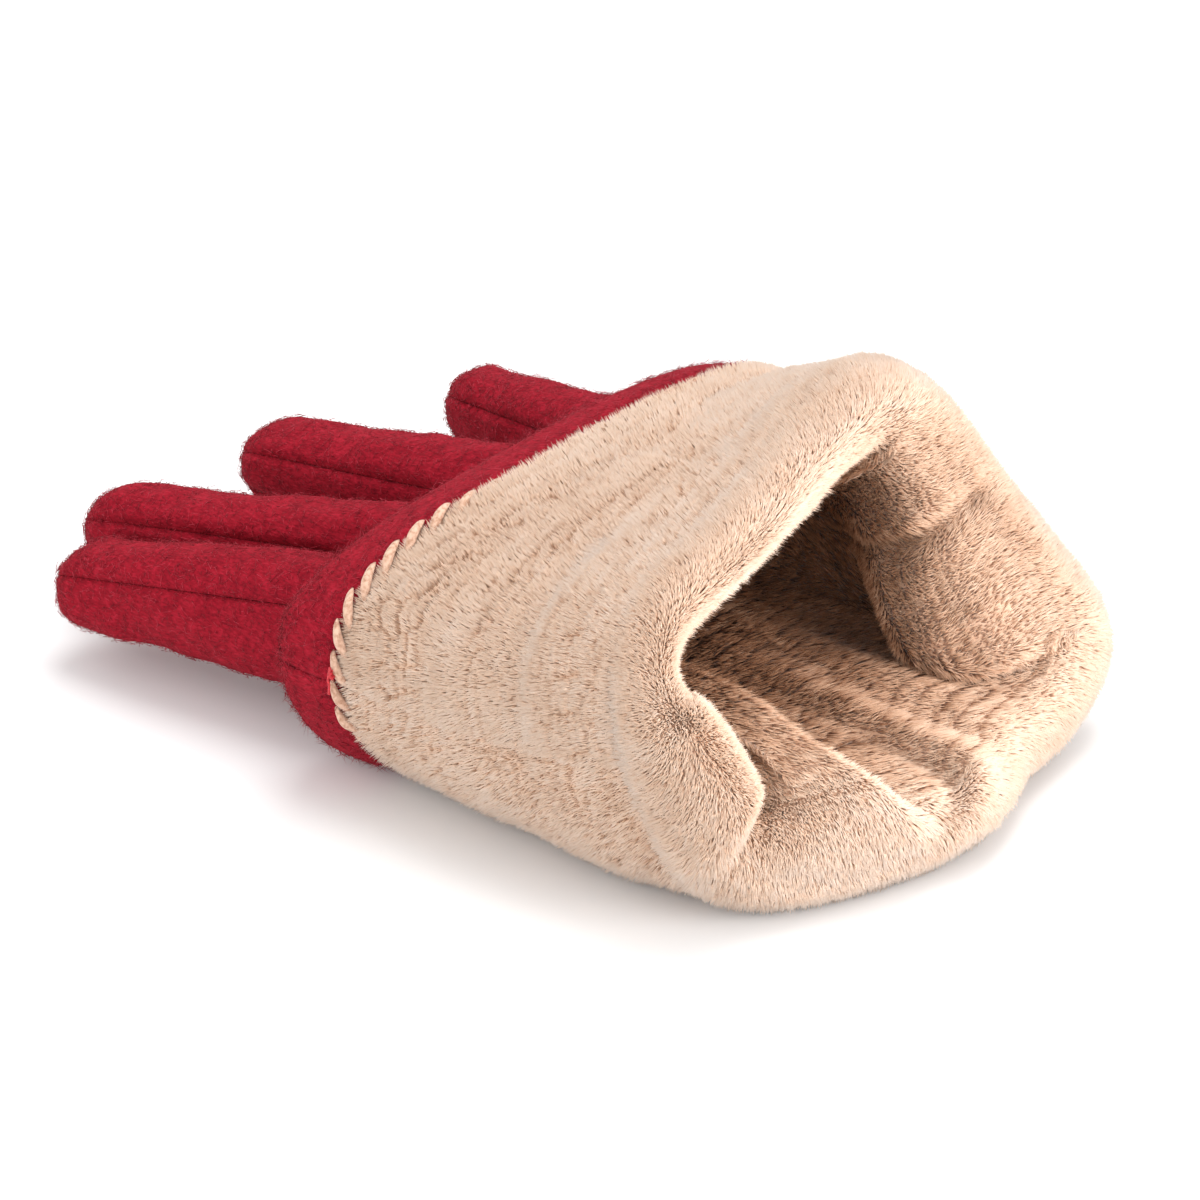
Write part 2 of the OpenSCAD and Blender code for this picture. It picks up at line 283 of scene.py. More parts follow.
def new_material(name):
    """An empty material with its output and one Principled shader."""
    m = bpy.data.materials.new(name)
    m.use_nodes = True
    return m, m.node_tree, m.node_tree.nodes["Principled BSDF"]


def color_ramp(tree, source, stops):
    """A colour ramp node with (place, hex) stops."""
    n = node(tree, "ShaderNodeValToRGB", {"Fac": source})
    ramp_of = n.color_ramp
    while len(ramp_of.elements) < len(stops):
        ramp_of.elements.new(0.5)
    for element, (place, code) in zip(ramp_of.elements, stops):
        element.position, element.color = place, linear(code)
    return n.outputs["Color"]


# Plush fleece: fine polyester pile, pale and silky at the tips; its tone carries painted shade at the roots,
# in the cracks and deep in the hand, and a painted highlight on the flap.
plush_fleece, tree, shader = new_material("plush fleece")
where = node(tree, "ShaderNodeTexCoord").outputs["Object"]
tone = node(tree, "ShaderNodeAttribute", attribute_name="tone").outputs["Fac"]
patches = node(tree, "ShaderNodeTexNoise", {"Vector": where}, Scale=160.0, Detail=3.0).outputs["Fac"]
mixed = node(tree, "ShaderNodeMath", {0: tone}, operation="ADD")
shift = node(tree, "ShaderNodeMath", {0: patches}, operation="MULTIPLY_ADD")
shift.inputs[1].default_value, shift.inputs[2].default_value = 0.24, -0.12
tree.links.new(shift.outputs[0], mixed.inputs[1])
# Painted shade and highlight: the dark stops of this ramp give the painted shade, the palest the tips and the
# painted highlight.
root_to_tip_and_painted_shade = [(0.0, "#4a2d1c"), (0.22, "#986a4b"), (0.46, "#d6ad8f"), (0.72, "#f3d4bb"), (1.0, "#fde8d8")]
tree.links.new(color_ramp(tree, mixed.outputs[0], root_to_tip_and_painted_shade), shader.inputs["Base Color"])
shader.inputs["Roughness"].default_value = 0.85
shader.inputs["Sheen Weight"].default_value = 0.25
shader.inputs["Sheen Roughness"].default_value = 0.5
shader.inputs["Specular IOR Level"].default_value = 0.2

# Backing of the plush: the same yarn seen end on, grainy, with painted shade deep in the hand.
plush_backing, tree, shader = new_material("plush backing knit")
where = node(tree, "ShaderNodeTexCoord").outputs["Object"]
grains = node(tree, "ShaderNodeTexNoise", {"Vector": where}, Scale=900.0, Detail=4.0).outputs["Fac"]
tone = node(tree, "ShaderNodeAttribute", attribute_name="tone").outputs["Fac"]
mixed = node(tree, "ShaderNodeMath", {0: grains}, operation="MULTIPLY_ADD")
mixed.inputs[1].default_value = 0.4
tree.links.new(tone, mixed.inputs[2])
tree.links.new(color_ramp(tree, mixed.outputs[0], [(0.1, "#6b482f"), (0.5, "#c39a7c"), (0.9, "#efcfb5")]),
               shader.inputs["Base Color"])
bump = node(tree, "ShaderNodeBump", {"Height": grains}, Strength=0.6, Distance=0.0004)
tree.links.new(bump.outputs[0], shader.inputs["Normal"])
shader.inputs["Roughness"].default_value = 0.9
shader.inputs["Sheen Weight"].default_value = 0.2

# Depths of the backing's two skins under the pile face, in mm.
BACKING_DEPTH, BACKING_INSIDE = 1.1, 3.9
# Half the gap at a side seam, and how far the pile reaches over it, as shares of the way round.
SEAM_HALF, PILE_OVER = 0.0002, 0.0012
HALVES = {"back": (NEAR_SEAM - 1 + SEAM_HALF, FAR_SEAM - SEAM_HALF),
          "palm": (FAR_SEAM + SEAM_HALF, NEAR_SEAM - SEAM_HALF)}
backing_v = np.concatenate([np.linspace(0, 1, 40, endpoint=False), np.linspace(1, 2, 28, endpoint=False),
                            np.linspace(2, 3, 40, endpoint=False), np.linspace(3, 3.8, 8)])
backing = {}
for half, (u0, u1) in HALVES.items():
    uu, vv = np.meshgrid(np.linspace(u0, u1, 150), backing_v, indexing="ij")
    skin, inward = on_face(face_points, uu, vv), -on_face(face_n, uu, vv)
    inside = lining_face(uu, vv) + BACKING_INSIDE * -on_face(frame_of(plain)[2], uu, vv)
    points = np.concatenate([(skin + BACKING_DEPTH * inward).reshape(-1, 3), inside.reshape(-1, 3)])
    # Painted shade: the backing's tone falls from 0.6 to 0 deep in the hand.
    tones = np.concatenate([(0.6 - 0.6 * ramp(vv, 2.05, 2.75)).ravel()] * 2)
    backing[half] = add_mesh(f"plush_{half}_backing", points, shell_faces(*uu.shape), tones)
    backing[half].data.materials.append(plush_backing)
    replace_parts(backing[half], f"plush_{half}")
    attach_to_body(backing[half], "hand")


def spikes(root, tip, width, twist):
    """Closed three-sided spikes: a base triangle of the given radius round each root, met at its tip."""
    way = unit(tip - root)
    side = unit(np.cross(way, np.array([0.3, 0.2, 0.93])))
    other = np.cross(way, side)
    corners = [root + width * (np.cos(twist + k) * side + np.sin(twist + k) * other)
               for k in (0, 2.0944, 4.1888)]
    points = np.stack(corners + [tip], 1)
    first = 4 * np.arange(len(root))[:, None]
    faces = (first[:, None] + np.array([[0, 2, 1], [0, 1, 3], [1, 2, 3], [2, 0, 3]])).reshape(-1, 3)
    return points.reshape(-1, 3), faces


# The pile: tufts of fibre that all lie from the mouth towards the hem. They stand in rows and cling together
# in clumps, with cracks between the rows that painted shade darkens. One spike stands for some 20 fibres.
rng = np.random.default_rng(7)
TUFT_RADIUS = 0.17


def pile(count, u_span, v_span, length, clump, cling, stand, rows):
    """Tufts strewn over a patch: each root has a clump, a lattice cell of size clump (mm round, mm along),
    and its tip leans down the pile, stands up by stand, and bends by cling to the clump's middle. Tufts at
    the edge of a clump are shorter and sunk by rows, so long clumps make cracks that run round the cuff, and
    painted shade darkens these cracks and the clump edges. Tufts deep in the hand and on the far bulge under
    the top lip carry painted shade, and those on the flap's crest a painted highlight."""
    u = rng.uniform(u_span[0] - PILE_OVER, u_span[1] + PILE_OVER, count * 2)
    v = rng.uniform(*v_span, count * 2)
    a = on_face(face_points, u, v)
    stretch = (np.linalg.norm(on_face(face_points, u + 0.001, v) - a, axis=1)
               * np.linalg.norm(on_face(face_points, u, np.minimum(v + 0.004, 4)) - a, axis=1))
    keep = rng.random(count * 2) < stretch / np.quantile(stretch, 0.9) * 0.9
    u, v, a = u[keep][:count], v[keep][:count], a[keep][:count]
    du, dv, n = (on_face(f, u, v) for f in (face_du, face_dv, face_n))
    # About mm round the cuff and mm along it.
    x, y = u * 280, v * 50
    wx = x + 2.2 * wander(x / 9, y / 5, 11)
    wy = y + 1.5 * wander(x / 16, y / 7, 12) + 0.5 * wander(x / 5, y / 3, 13)
    cy = np.floor(wy / clump[1])
    wx += clump[0] * ((np.sin(cy * 91.7) * 4375.85) % 1.0)
    cx = np.floor(wx / clump[0])
    chance = lambda k: (np.sin((cx * 12.9898 + cy * 78.233 + k) % 6283.1) * 43758.5453) % 1.0
    off_x = (cx + 0.5) * clump[0] - wx
    off_y = (cy + 0.5 + 0.3 * (chance(2) - 0.5)) * clump[1] - wy
    wavy = v + 0.03 * wander(x / 40, 0 * x, 19)
    bands = sum(np.exp(-(((wavy - at) / 0.07) ** 2)) for at in (0.24, 0.50, 0.74, 0.93))
    open_here = ramp(0.9 * bands + 0.6 * wander(x / 22, y / 6, 14) + 0.2 * wander(x / 6, y / 2, 17), 0.0, 0.8)
    edge_y = np.clip(abs(off_y) / clump[1] * 2, 0, 1.2)
    edge_x = np.clip((abs(off_x) - clump[0] / 2 + 0.7) / 0.7, 0, 1)
    crack = rows * np.clip(ramp(edge_y, 0.45, 1.0) * open_here + 0.5 * edge_x * open_here, 0, 1)
    rise = stand * (1 + 0.35 * (chance(3) - 0.5) + 0.2 * wander(x / 11, y / 8, 15))
    sway = 0.40 * wander(x / 14, y / 14, 16) + 0.22 * rng.normal(size=len(u))
    size = length * (0.9 + 0.25 * chance(4) + 0.12 * rng.normal(size=len(u))) * (1 - 0.35 * crack)
    way = unit(-dv + sway[:, None] * du + rise[:, None] * n)
    root = a - (BACKING_DEPTH + 0.1 + 0.35 * crack[:, None]) * n
    pull = cling * (0.4 + 0.6 * open_here)
    tip = (root + size[:, None] * way + (0.35 * pull * np.clip(off_x, -1.5, 1.5))[:, None] * du
           + (pull * off_y)[:, None] * dv)
    # Painted shade: this mask darkens the tufts towards the throat, deep in the hand.
    deep = ramp(v, 1.8, 2.6)
    # Painted shade on the far bulge, where the top lip shades it.
    far_bulge_painted_shade = mound(u, v, 0.25, 1.8, 0.11, 0.5)
    # Painted highlight on the crest of the flap.
    flap_painted_highlight = mound(u, v, 0.60, 1.95, 0.04, 0.3)
    # The tone: painted shade from the masks above and in the cracks and at the clump edges, a painted
    # highlight on the flap, and random tone from chance, normal and wander.
    light = (0.76 - 0.24 * far_bulge_painted_shade + 0.12 * flap_painted_highlight - 0.58 * deep - 0.38 * crack - 0.04 * edge_y**3
             + 0.10 * (chance(5) - 0.5) + 0.05 * rng.normal(size=len(u)) + 0.05 * wander(x / 20, y / 16, 18))
    points, faces = spikes(root, tip, TUFT_RADIUS, rng.uniform(0, 6.28, len(u))[:, None])
    # Painted shade at the roots: the three root corners of each spike get a darker tone than its tip.
    tones = np.stack([light - 0.08] * 3 + [light + 0.08], 1)
    return points, faces, tones


# Piece: tufts, half, span along the pile face, fibre length, clump, cling, stand, rows.
PATCHES = {
    "plush_pile_cuff_back_1": (44000, "back", (0.0, 0.52), 1.9, (7.0, 1.6), 0.55, 1.9, 1.0),
    "plush_pile_cuff_back_2": (44000, "back", (0.52, 1.05), 1.9, (6.0, 1.6), 0.55, 1.9, 0.9),
    "plush_pile_cuff_palm_1": (36000, "palm", (0.0, 0.52), 1.9, (3.2, 1.5), 0.55, 1.7, 0.9),
    "plush_pile_cuff_palm_2": (36000, "palm", (0.52, 1.05), 1.9, (2.6, 1.5), 0.5, 1.7, 0.8),
    "plush_pile_roll_back": (43000, "back", (1.05, 2.0), 2.0, (1.6, 1.3), 0.2, 1.1, 0.12),
    "plush_pile_roll_palm": (44000, "palm", (1.05, 2.0), 2.1, (1.6, 1.5), 0.3, 1.1, 0.3),
    "plush_pile_inside_back": (42000, "back", (2.0, 3.1), 2.9, (1.5, 2.6), 0.5, 0.65, 0.4),
    "plush_pile_inside_palm": (44000, "palm", (2.0, 3.1), 3.1, (1.5, 3.0), 0.5, 0.6, 0.4),
}
pile_pieces = {"back": [], "palm": []}
for name, (count, half, *nap) in PATCHES.items():
    tufts = add_mesh(name, *pile(count, HALVES[half], *nap))
    tufts.data.materials.append(plush_fleece)
    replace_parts(tufts, f"plush_{half}")
    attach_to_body(tufts, "hand")
    pile_pieces[half].append(tufts)
# Each half as cut, with its area: the palm half is the wider one, because its seams lie up the sides.
PLUSH_CUT = {"back": ((0.127, 0.150), 0.0135), "palm": ((0.143, 0.160), 0.0205)}
for half, (flat, area) in PLUSH_CUT.items():
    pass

# ------------------------------------------------------------------ wool shell of the hand
# The felted wool under the plush: one thickness, turned back with the cuff and so folded inside the roll.
# It is hidden except where the finger bases come out of it.
# Felted wool: milled and raised, so short fibres cross each other every way over a mottled crimson ground.
felted_wool, tree, shader = new_material("felted wool")
where = node(tree, "ShaderNodeTexCoord").outputs["Object"]
mottle = node(tree, "ShaderNodeTexNoise", {"Vector": where},
              Scale=420.0, Detail=5.0, Roughness=0.65).outputs["Fac"]
squeeze = node(tree, "ShaderNodeMapping", {"Vector": where}, Scale=(1.0, 0.35, 1.0), Rotation=(0.3, 0.2, 0.5))
fibres = node(tree, "ShaderNodeTexNoise", {"Vector": squeeze.outputs[0]},
              Scale=2400.0, Detail=2.0).outputs["Fac"]
both = node(tree, "ShaderNodeMath", {0: mottle, 1: fibres}, operation="ADD")
halved = node(tree, "ShaderNodeMath", {0: both.outputs[0]}, operation="MULTIPLY")
halved.inputs[1].default_value = 0.5
tree.links.new(color_ramp(tree, halved.outputs[0], [(0.34, "#70091a"), (0.5, "#8f1122"), (0.66, "#a91d30")]),
               shader.inputs["Base Color"])
bump = node(tree, "ShaderNodeBump", {"Height": halved.outputs[0]}, Strength=0.9, Distance=0.0006)
tree.links.new(bump.outputs[0], shader.inputs["Normal"])
shader.inputs["Roughness"].default_value = 0.95
shader.inputs["Specular IOR Level"].default_value = 0.15
shader.inputs["Sheen Weight"].default_value = 0.14
shader.inputs["Sheen Roughness"].default_value = 0.45
shader.inputs["Sheen Tint"].default_value = linear("#d04452")

# Depths of the wool's two skins under the lining, in mm.
WOOL_DEPTHS = (4.5, 5.6)
for half, (u0, u1) in HALVES.items():
    uu, vv = np.meshgrid(np.linspace(u0, u1, 70), np.linspace(0.02, 4, 100), indexing="ij")
    base, inward = lining_face(uu, vv), -on_face(frame_of(plain)[2], uu, vv)
    skins = [(base + depth * inward).reshape(-1, 3) for depth in WOOL_DEPTHS]
    shell = add_mesh(f"wool_{half}_shell", np.concatenate(skins), shell_faces(*uu.shape))
    shell.data.materials.append(felted_wool)
    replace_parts(shell, f"wool_{half}")
    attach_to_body(shell, "hand")

# ------------------------------------------------------------------ turned-in hem
# The free edge of the cuff: the wool is turned in and padded by its own fold into a puffy band.
# The band goes right round; it is sewn at the same two sides as the panels.


def hem_face(u, a):
    """Hem band: a rounded rectangle (power 3) 14.2 mm wide and 6.4 mm thick carried round the hem loop; on
    top of the hand its width dips by 0.38 mm per mm towards the fingers."""
    h, n = loop(HEM, u), -on_face(face_n, u, 0 * u)
    n = unit(n - n * np.array([0, 1, 0]) * 0.8)
    down = 0.38 * np.maximum(0, -n[..., 2:])
    way = unit(np.concatenate([0 * down, 0 * down + 1, -down], -1))
    side = lambda w: (np.sign(w) * abs(w) ** (2 / 3.0))[..., None]
    swell = 1 + 0.05 * wander(u * 14, a, 21)[..., None]
    return (h + np.array([-0.5, 0, 0]) + 7.2 * way + 2.6 * n + 7.1 * side(np.cos(a)) * way
            + 3.2 * swell * side(np.sin(a)) * n)


def tube_faces(rings, points):
    """Quads between rings of points, with a last quad strip closing each ring; the ends stay open."""
    p = np.arange(rings * points).reshape(rings, points)
    q = np.roll(p, -1, axis=1)
    return np.stack([p[:-1], q[:-1], q[1:], p[1:]], -1).reshape(-1, 4)


def end_faces(first, points):
    """Quads that close a ring of an even number of points by pairing its two sides."""
    i = np.arange(points // 2 - 1)
    return first + np.stack([i, i + 1, points - 2 - i, points - 1 - i], -1)


FIBRE_RADIUS = 0.055


def fuzz(name, points, normals, steps, count, length, attach):
    """Stray wool fibres: needles that lie nearly flat on a skin, each in a direction of its own. Attach says
    which pieces the hairs replace and which bodies they follow."""
    pick = rng.integers(0, len(points), count)
    n, d = normals[pick], steps[pick]
    turn = rng.uniform(0, 6.28, count)[:, None]
    flat = np.cos(turn) * d + np.sin(turn) * np.cross(n, d)
    way = unit(flat + np.abs(rng.normal(0.25, 0.28, count))[:, None] * n)
    root = points[pick] + rng.normal(0, 0.25, (count, 3)) - 0.15 * n
    size = length * rng.uniform(0.4, 1.3, count)[:, None]
    corners, faces = spikes(root, root + size * way, FIBRE_RADIUS, turn)
    tones = np.repeat(rng.uniform(0.1, 1.0, count)[:, None], 4, 1)
    hairs = add_mesh(name, corners, faces, tones)
    hairs.data.materials.append(wool_fibre)
    attach(hairs)
    return hairs


# A single wool fibre lets light through, so the fuzz is paler and pinker than the felt under it.
wool_fibre, tree, shader = new_material("wool fibre fuzz")
tone = node(tree, "ShaderNodeAttribute", attribute_name="tone").outputs["Fac"]
tree.links.new(color_ramp(tree, tone, [(0.0, "#6a0914"), (0.6, "#9c1a2b"), (1.0, "#c03a4b")]),
               shader.inputs["Base Color"])
shader.inputs["Roughness"].default_value = 0.7
shader.inputs["Specular IOR Level"].default_value = 0.3

for half, (u0, u1) in HALVES.items():
    nu, na = 130, 36
    uu, aa = np.meshgrid(np.linspace(u0 + 0.0005, u1 - 0.0005, nu),
                         np.linspace(0, 2 * math.pi, na, endpoint=False), indexing="ij")
    skin = hem_face(uu, aa)
    band = add_mesh(f"hem_{half}_band", skin, np.concatenate([tube_faces(nu, na), end_faces(0, na)[:, ::-1],
                                                         end_faces((nu - 1) * na, na)]))
    band.data.materials.append(felted_wool)
    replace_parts(band, f"hem_{half}")
    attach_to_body(band, "hand")
    around = unit(np.roll(skin, -1, 1) - np.roll(skin, 1, 1))
    along = unit(np.gradient(skin, axis=0))
    outward = np.cross(along, around)
    outward *= np.sign(dot(outward, skin - skin.mean(1, keepdims=True)))
    fuzz(f"hem_fuzz_{half}", skin.reshape(-1, 3), outward.reshape(-1, 3), along.reshape(-1, 3), 13000, 2.2,
         lambda o: (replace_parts(o, f"hem_{half}"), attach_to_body(o, "hand")))

# ------------------------------------------------------------------ whip stitches round the hem
# Thick two-ply yarn in the lining's colour, sewn over the edge of the hem from the plush side. Each stitch
# is a slanted twisted bump; the next one starts under it.
STITCHES = 50
hem_u = np.linspace(0, 1, 401)
hem_run = np.concatenate([[0], np.cumsum(np.linalg.norm(np.diff(loop(HEM, hem_u), axis=0), axis=1))])
STITCH_U = np.interp((np.arange(STITCHES) + 0.5) / STITCHES * hem_run[-1], hem_run, hem_u)
yarn, tree, shader = new_material("two-ply wool yarn")
where = node(tree, "ShaderNodeTexCoord").outputs["Object"]
strands = node(tree, "ShaderNodeTexNoise", {"Vector": where}, Scale=1500.0, Detail=3.0).outputs["Fac"]
tree.links.new(color_ramp(tree, strands, [(0.3, "#b08166"), (0.6, "#dcb79f")]), shader.inputs["Base Color"])
bump = node(tree, "ShaderNodeBump", {"Height": strands}, Strength=0.5, Distance=0.0003)
tree.links.new(bump.outputs[0], shader.inputs["Normal"])
shader.inputs["Roughness"].default_value = 0.85
shader.inputs["Sheen Weight"].default_value = 0.2


def stitch_face(u0, t, a):
    """A bump along the seam: radius 0.9 mm times about the root of sin, grooved by a twist of one turn, its
    ends dipped in. The stitches stand proud beside the near seam and sink into the pile further round."""
    h = loop(HEM, np.array([u0]))[0]
    along = unit(loop(HEM, np.array([u0 + 0.003]))[0] - loop(HEM, np.array([u0 - 0.003]))[0])
    out = on_face(face_n, np.array([u0]), np.array([0.0]))[0]
    proud = 0.7 - 1.7 * float(ramp(abs((u0 - 0.845 + 0.5) % 1 - 0.5), 0.085, 0.125)) - 1.0 * max(0.0, -out[2])
    way = unit(along + 0.42 * np.array([0, 1.0, 0]))
    side = np.cross(out, way)
    s = np.sin(math.pi * np.clip(t, 0.012, 0.988)) ** 0.55
    r = 0.9 * s * (1 + 0.12 * np.cos(2 * a - 6.3 * t))
    lift = proud + 1.2 * (s[..., None] - 1) + 0.9 * (t[..., None] - 0.5)
    place = h + (t[..., None] - 0.5) * 7.0 * way + lift * out
    return place + r[..., None] * (np.cos(a)[..., None] * side + 0.9 * np.sin(a)[..., None] * out)


tt, aa = np.meshgrid(np.linspace(0, 1, 15), np.linspace(0, 2 * math.pi, 14, endpoint=False), indexing="ij")
one_stitch = np.concatenate([tube_faces(15, 14), end_faces(0, 14)[:, ::-1], end_faces(14 * 14, 14)])
stitches = add_mesh("hem_whip_stitches",
                    np.concatenate([stitch_face(u0, tt, aa).reshape(-1, 3) for u0 in STITCH_U]),
                    np.concatenate([one_stitch + i * tt.size for i in range(STITCHES)]))
stitches.data.materials.append(yarn)
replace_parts(stitches, "hem_stitches")
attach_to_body(stitches, "hand")

# ------------------------------------------------------------------ thread end
# The red sewing thread of the hem, knotted off beside the near side seam with a short loose end.
sewing_thread, tree, shader = new_material("polyester sewing thread")
where = node(tree, "ShaderNodeTexCoord").outputs["Object"]
twist = node(tree, "ShaderNodeTexNoise", {"Vector": where}, Scale=5000.0).outputs["Fac"]
tree.links.new(color_ramp(tree, twist, [(0.35, "#a3101d"), (0.65, "#d8303c")]), shader.inputs["Base Color"])
shader.inputs["Roughness"].default_value = 0.5


def thread_face(path, t, a, radius):
    """A round thread: a circle of the given radius carried along a smooth path through a few points."""
    p = np.asarray(path, float)
    s = np.clip(t, 0, 1) * (len(p) - 1)
    i = np.clip(np.floor(s).astype(int), 0, len(p) - 2)
    f = ramp(s - i, 0, 1)[..., None]
    c = p[i] * (1 - f) + p[i + 1] * f
    way = unit(np.gradient(c, axis=0))
    side = unit(np.cross(way, np.array([0.2, 0.1, 1.0])))
    return c + radius * (np.cos(a)[..., None] * side + np.sin(a)[..., None] * np.cross(way, side))


thread_u = NEAR_SEAM + 0.012
knot = loop(HEM, np.array([thread_u]))[0] + 1.9 * on_face(face_n, np.array([thread_u]), np.array([0.0]))[0]
coil = [knot + 0.6 * np.array([math.cos(k * 1.9), math.sin(k * 2.3), math.cos(k * 1.3)]) for k in range(9)]
tail = [knot + np.array([-0.3, 0.2 * k * (1 if k < 4 else 0.4), -0.9 * k + 1.5]) for k in range(7)]
tt, aa = np.meshgrid(np.linspace(0, 1, 90), np.linspace(0, 2 * math.pi, 8, endpoint=False), indexing="ij")
thread = add_mesh("hem_thread_end", thread_face(coil + tail, tt, aa, 0.22),
                  np.concatenate([tube_faces(90, 8), end_faces(0, 8)[:, ::-1], end_faces(89 * 8, 8)]))
thread.data.materials.append(sewing_thread)
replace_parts(thread, "thread_end")
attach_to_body(thread, "hand")

# ------------------------------------------------------------------ fingers
# Each finger is a back panel, a palm panel and the strips between the fingers, sewn edge to edge on the wrong
# side, so every seam sinks in. Where a finger meets the hand the cloth runs on into it.
# Centre x, z and y at the base, the same at the tip, width and height at both ends, in mm.
FINGERS = {
    "index": ((-24.5, 21, 33), (-36, 14, 95), (19, 27), (15, 15)),
    "middle": ((-3, 22.5, 28.5), (-20, 16, 104), (19, 27), (16, 15)),
    "ring": ((18.5, 26, 24.5), (14, 19, 97), (20, 28), (16, 15)),
    "little": ((38.5, 29, 20.5), (53, 21.5, 80), (18, 26), (15, 14)),
}
# Panels by finger, with the angles of their seams: 0 towards the little finger, 90 up.
PANELS = {
    "index": {"back": (28, 152), "palm": (152, 332), "inner_side": (-28, 28)},
    "middle": {"back": (28, 152), "palm": (208, 332), "outer_side": (152, 208), "inner_side": (-28, 28)},
    "ring": {"back": (28, 152), "palm": (208, 332), "outer_side": (152, 208), "inner_side": (-28, 28)},
    "little": {"back": (28, 152), "palm": (208, 388), "outer_side": (152, 208)},
}


def finger_face(shape, a, s, depth=0.0, seams=()):
    """Finger skin: a rounded rectangle (power 2.4) from base to tip, closed by a round end; s below 0 runs
    back into the hand. Seams cut a groove 0.85 mm deep, and slow waves make the cloth lie softly."""
    (x0, z0, y0), (x1, z1, y1), (w0, h0), (w1, h1) = shape
    s = np.asarray(s, float) + 0 * a
    y = y0 + (y1 - depth - y0) * s
    r = w1 / 2
    q = 1 - np.clip((y1 - depth - y) / r, 0, 1)
    cap = np.maximum(np.sqrt(np.maximum(1 - q * q, 0)), 0.04)
    w, h = w0 + (w1 - w0) * s, h0 + (h1 - h0) * s
    side = lambda c: np.sign(c) * abs(c) ** (2 / 2.4)
    soft = 0.45 * wander(a * 1.2 + x0, y / 9, 31) + 0.25 * wander(a * 2.5, y / 4, 32 + x0)
    from_seam = lambda e: (a - e + math.pi) % (2 * math.pi) - math.pi
    groove = sum(0.85 * np.exp(-((from_seam(e) * w / 2.2 / 0.8) ** 2)) for e in seams)
    out = -depth + (soft - groove) * cap
    return np.stack([x0 + (x1 - x0) * s + (w / 2 + out) * cap * side(np.cos(a)), y,
                     z0 + (z1 - z0) * s + (h / 2 + out) * cap * side(np.sin(a))], -1)


def cloth_size(skin):
    """Flat size of a panel laid out from its grid: (width, length, area) in metres; the area is the sum of
    the cells, the length that of its first row, and the width gives an area 0.85 times width by length."""
    cells = np.linalg.norm(np.cross(skin[1:, :-1] - skin[:-1, :-1], skin[:-1, 1:] - skin[:-1, :-1]), axis=-1)
    area = float(cells.sum()) * 1e-6
    long = float(np.linalg.norm(np.diff(skin[0], axis=0), axis=-1).sum()) * MM
    return round(area / long / 0.85, 4), round(long, 4), round(area, 5)


# Share of a finger's length that its cloth runs back into the hand.
RUN_BACK = -0.11
# Thickness of the felt, and the depths of the lining's two skins under its face, in mm.
FINGER_FELT, FINGER_LINING = 1.4, (2.0, 4.4)
finger_s = np.concatenate([np.linspace(RUN_BACK, 0.8, 44, endpoint=False),
                           1 - 0.2 * np.linspace(1, 0, 18) ** 1.8])
for finger, shape in FINGERS.items():
    seams = sorted({math.radians(e) for pair in PANELS[finger].values() for e in pair})

    def bends(obj):
        """Bakes the piece's transform into its mesh."""
        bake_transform(obj)

    for panel, (a0, a1) in PANELS[finger].items():
        cut = 0.006
        aa, ss = np.meshgrid(np.linspace(math.radians(a0) + cut, math.radians(a1) - cut,
                                         8 + int((a1 - a0) / 4)), finger_s, indexing="ij")
        skin = finger_face(shape, aa, ss, 0, seams)
        inside = finger_face(shape, aa, ss, FINGER_FELT, seams)
        sheet = add_mesh(f"{finger}_{panel}_wool",
                         np.concatenate([skin.reshape(-1, 3), inside.reshape(-1, 3)]), shell_faces(*aa.shape))
        sheet.data.materials.append(felted_wool)
        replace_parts(sheet, f"{finger}_{panel}")
        bends(sheet)
        wide, long, area = cloth_size(skin)
    aa, ss = np.meshgrid(np.linspace(0, 2 * math.pi, 150, endpoint=False), finger_s[6:], indexing="ij")
    skin = finger_face(shape, aa, ss, 0, seams)
    step_s, step_a = unit(np.gradient(skin, axis=1)), unit(np.gradient(skin, axis=0))
    outward = unit(np.cross(step_a, step_s))
    first = next(iter(PANELS[finger]))
    fuzz(f"{finger}_fuzz", skin.reshape(-1, 3), outward.reshape(-1, 3), step_s.reshape(-1, 3), 9000, 2.4,
         lambda o: (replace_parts(o, f"{finger}_{first}"), bends(o)))

    # The lining of the finger: a blind tube of the same plush with its pile pressed flat.
    aa, ss = np.meshgrid(np.linspace(0, 2 * math.pi, 40, endpoint=False),
                         np.linspace(-0.08, 1, 44), indexing="ij")
    outer, inner = (finger_face(shape, aa.T, ss.T, d) for d in FINGER_LINING)
    faces = np.concatenate([tube_faces(88, 40), end_faces(0, 40)[:, ::-1], end_faces(87 * 40, 40)])
    tube = add_mesh(f"{finger}_lining_plush", np.concatenate([outer[::-1], inner]), faces)
    tube.data.materials.append(plush_backing)
    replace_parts(tube, f"{finger}_lining")
    bends(tube)
    wide, long, area = cloth_size((outer + inner).transpose(1, 0, 2) / 2)

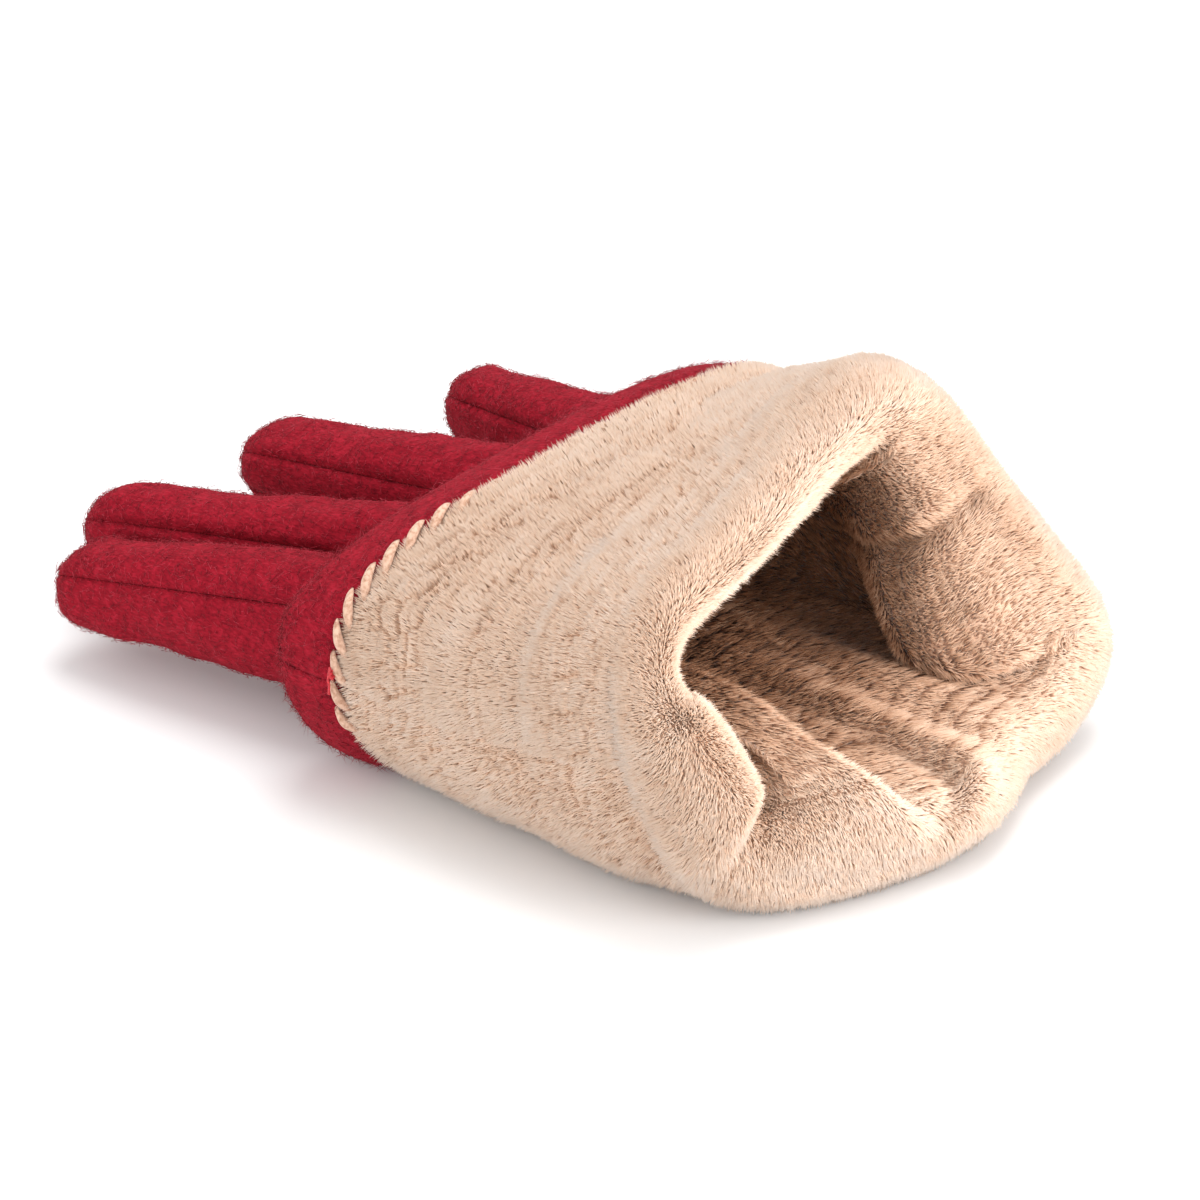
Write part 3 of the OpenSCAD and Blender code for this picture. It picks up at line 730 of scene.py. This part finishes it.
# ------------------------------------------------------------------ thumb
# Cut and sewn like the fingers. It lies flat in the fold between the hand and the turned-back cuff.
THUMB = ((-33.1, 24, -5), (-33, 24, 17.5), (7, 16), (6.8, 14))
THUMB_SEAMS = (math.pi / 2, -math.pi / 2)
THUMB_FELT, THUMB_LINING = (0.4, 1.6), (2.0, 2.9)
for name, (a0, a1) in {"thumb_back": (90, 270), "thumb_palm": (-90, 90)}.items():
    aa, ss = np.meshgrid(np.radians(np.linspace(a0 + 1, a1 - 1, 40)), np.linspace(0, 1, 40), indexing="ij")
    skins = [finger_face(THUMB, aa, ss, depth, THUMB_SEAMS).reshape(-1, 3) for depth in THUMB_FELT]
    sheet = add_mesh(f"{name}_wool", np.concatenate(skins), shell_faces(*aa.shape))
    sheet.data.materials.append(felted_wool)
    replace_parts(sheet, name)
    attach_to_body(sheet, "hand")
    wide, long, area = cloth_size(finger_face(THUMB, aa, ss, 1.0))
aa, ss = np.meshgrid(np.linspace(0, 2 * math.pi, 32, endpoint=False), np.linspace(0, 1, 30), indexing="ij")
outer, inner = (finger_face(THUMB, aa.T, ss.T, d) for d in THUMB_LINING)
faces = np.concatenate([tube_faces(60, 32), end_faces(0, 32)[:, ::-1], end_faces(59 * 32, 32)])
tube = add_mesh("thumb_lining_plush", np.concatenate([outer[::-1], inner]), faces)
tube.data.materials.append(plush_backing)
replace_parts(tube, "thumb_lining")
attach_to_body(tube, "hand")
wide, long, area = cloth_size((outer + inner).transpose(1, 0, 2) / 2)

# ------------------------------------------------------------------ floor, light and camera
# A white sweep in a white room, with soft boxes overhead, low in front and on the near side.
scene = bpy.context.scene
scene.view_settings.view_transform = "Standard"
world = bpy.data.worlds.new("white room")
world.use_nodes = True
world.node_tree.nodes["Background"].inputs["Color"].default_value = (1, 1, 1, 1)
world.node_tree.nodes["Background"].inputs["Strength"].default_value = 0.92
scene.world = world
floor = bpy.data.objects.new("floor", bpy.data.meshes.new("floor"))
floor.data.from_pydata([(-3, -3, 0), (3, -3, 0), (3, 3, 0), (-3, 3, 0)], [], [(0, 1, 2, 3)])
scene.collection.objects.link(floor)
white_card, tree, shader = new_material("matt white card")
shader.inputs["Base Color"].default_value = (0.92, 0.92, 0.92, 1)
shader.inputs["Roughness"].default_value = 0.8
floor.data.materials.append(white_card)


def soft_box(name, at, size, power, aim=(0, 0, 0.02)):
    """A square area light at a place, turned to face a point."""
    light = bpy.data.lights.new(name, "AREA")
    light.shape, light.size, light.energy = "SQUARE", size, power
    lamp = bpy.data.objects.new(name, light)
    way = np.array(at) - np.array(aim)
    lamp.location = at
    tilt = math.acos(way[2] / np.linalg.norm(way))
    lamp.rotation_euler = (tilt, 0, math.atan2(way[1], way[0]) + math.pi / 2)
    scene.collection.objects.link(lamp)


soft_box("overhead box", (0.25, 0.10, 0.9), 0.6, 4.5)
soft_box("front box", (0.20, -0.95, 0.20), 0.6, 11)
soft_box("near side box", (-0.85, -0.10, 0.45), 0.6, 2.4)

camera = bpy.data.objects.new("camera", bpy.data.cameras.new("camera"))
azimuth, elevation, distance = math.radians(-50), math.radians(29), 0.7
back = np.array([math.sin(azimuth) * math.cos(elevation), -math.cos(azimuth) * math.cos(elevation),
                 math.sin(elevation)])
aim = (np.array([2.56, 2.15, 26.04]) + PLACE) * MM
camera.location = aim + distance * back
camera.rotation_euler = (math.pi / 2 - elevation, 0, azimuth)
camera.data.lens = 121.8
camera.data.sensor_width = 36
scene.collection.objects.link(camera)
scene.camera = camera
